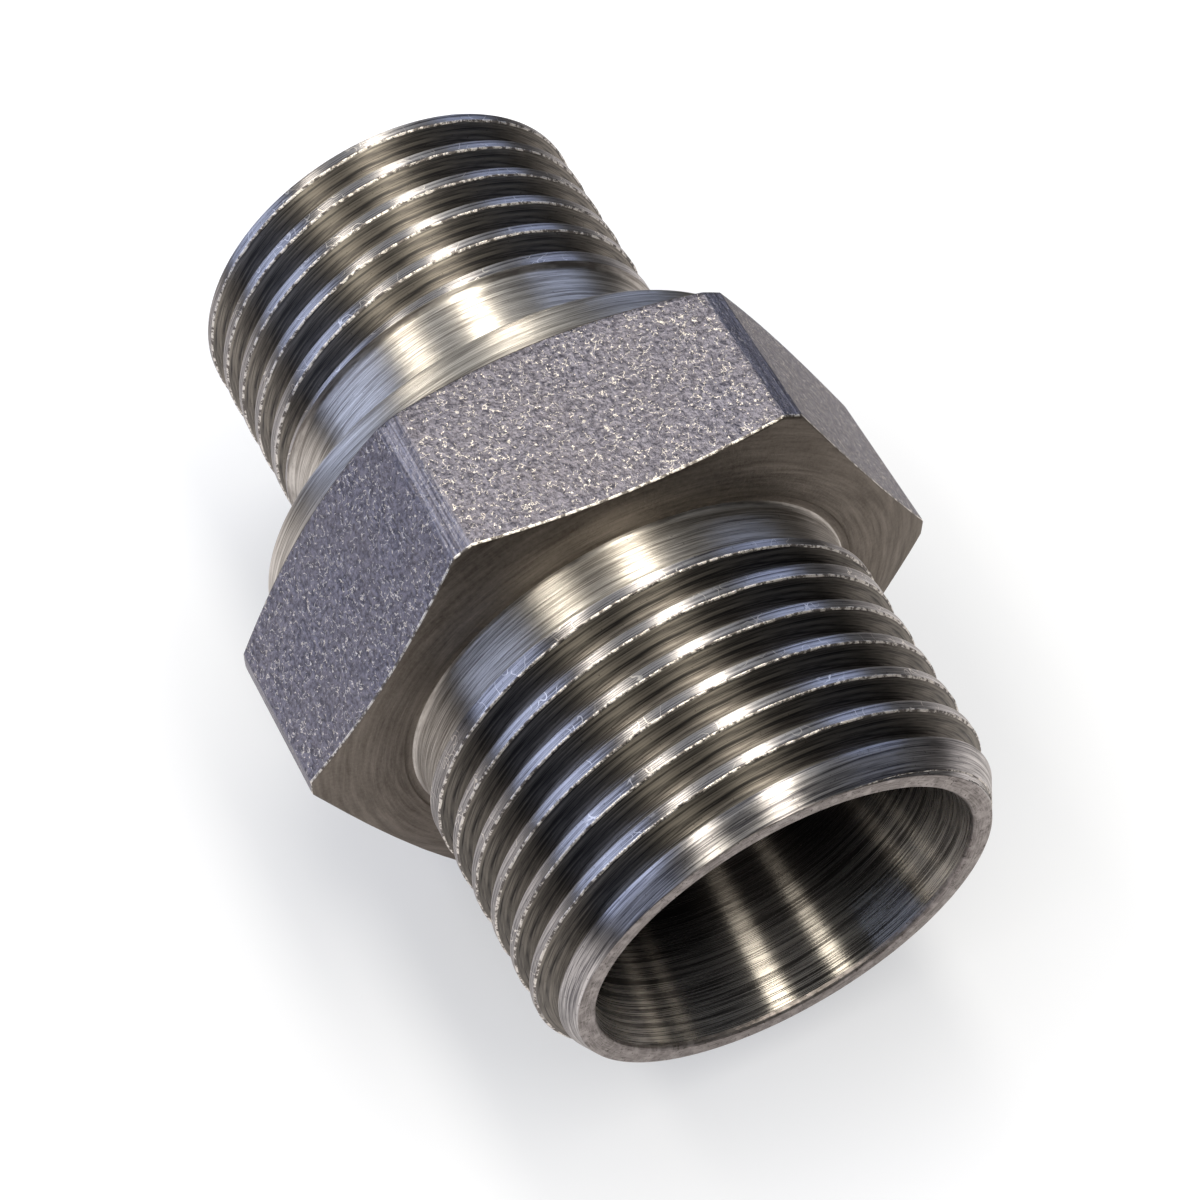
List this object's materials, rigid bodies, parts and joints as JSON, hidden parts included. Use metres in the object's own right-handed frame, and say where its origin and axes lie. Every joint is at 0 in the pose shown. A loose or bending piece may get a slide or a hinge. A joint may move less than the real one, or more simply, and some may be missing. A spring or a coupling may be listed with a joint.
{
  "type": "straight union fitting",
  "caption": "Straight steel union fitting with a hexagon, a threaded tube end with a cone mouth, and a threaded stud behind a sealing collar.",
  "frame": {"origin": "on the fitting's axis, at the middle of the hexagon", "axes": "+X along the axis toward the tube end with the cone, +Z out of an upper hexagon flat, so that the fitting lies on the opposite flat"},
  "size_m": [0.0327, 0.025, 0.022],
  "materials": {
    "steel": "bare steel, bright turned threads, necks and bore, with dull etched hexagon flats"
  },
  "bodies": {
    "root": {"union_body": "steel"}
  },
  "joints": []
}
